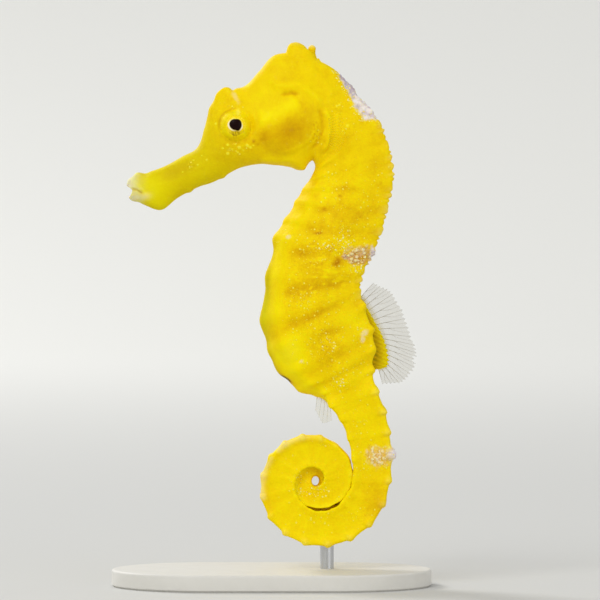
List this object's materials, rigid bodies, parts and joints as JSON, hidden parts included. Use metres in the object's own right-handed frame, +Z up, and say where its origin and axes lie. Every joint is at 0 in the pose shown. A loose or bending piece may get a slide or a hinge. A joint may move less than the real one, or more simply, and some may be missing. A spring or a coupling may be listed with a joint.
{
  "type": "seahorse",
  "caption": "Still yellow seahorse with a long snout, a ringed armoured body and a coiled tail, held upright by a short rod on a flat display base.",
  "frame": {"origin": "centre of the underside of the stand's base", "axes": "+Z up along the body, from the coiled tail to the coronet; the snout points to -X; the animal's left side faces -Y"},
  "size_m": [0.056, 0.036, 0.0949],
  "materials": {
    "skin": "satin, yellow with paler and browner markings",
    "eye": "wet gloss, yellow iris round a dark pupil",
    "fin": "thin, clear, with paler rays",
    "stand_base": "satin, pale grey",
    "stand_rod": "brushed"
  },
  "bodies": {
    "root": {"snout": "skin", "head": "skin", "coronet": "skin", "eye_left": "eye", "eye_right": "eye", "neck": "skin", "trunk_upper": "skin", "trunk_middle": "skin", "trunk_lower": "skin", "tail_1": "skin", "tail_2": "skin", "tail_3": "skin", "tail_4": "skin", "tail_5": "skin", "tail_6": "skin", "dorsal_fin": "fin", "anal_fin": "fin", "pectoral_fin_left": "fin", "pectoral_fin_right": "fin", "stand_base": "stand_base", "stand_rod": "stand_rod"}
  },
  "joints": []
}
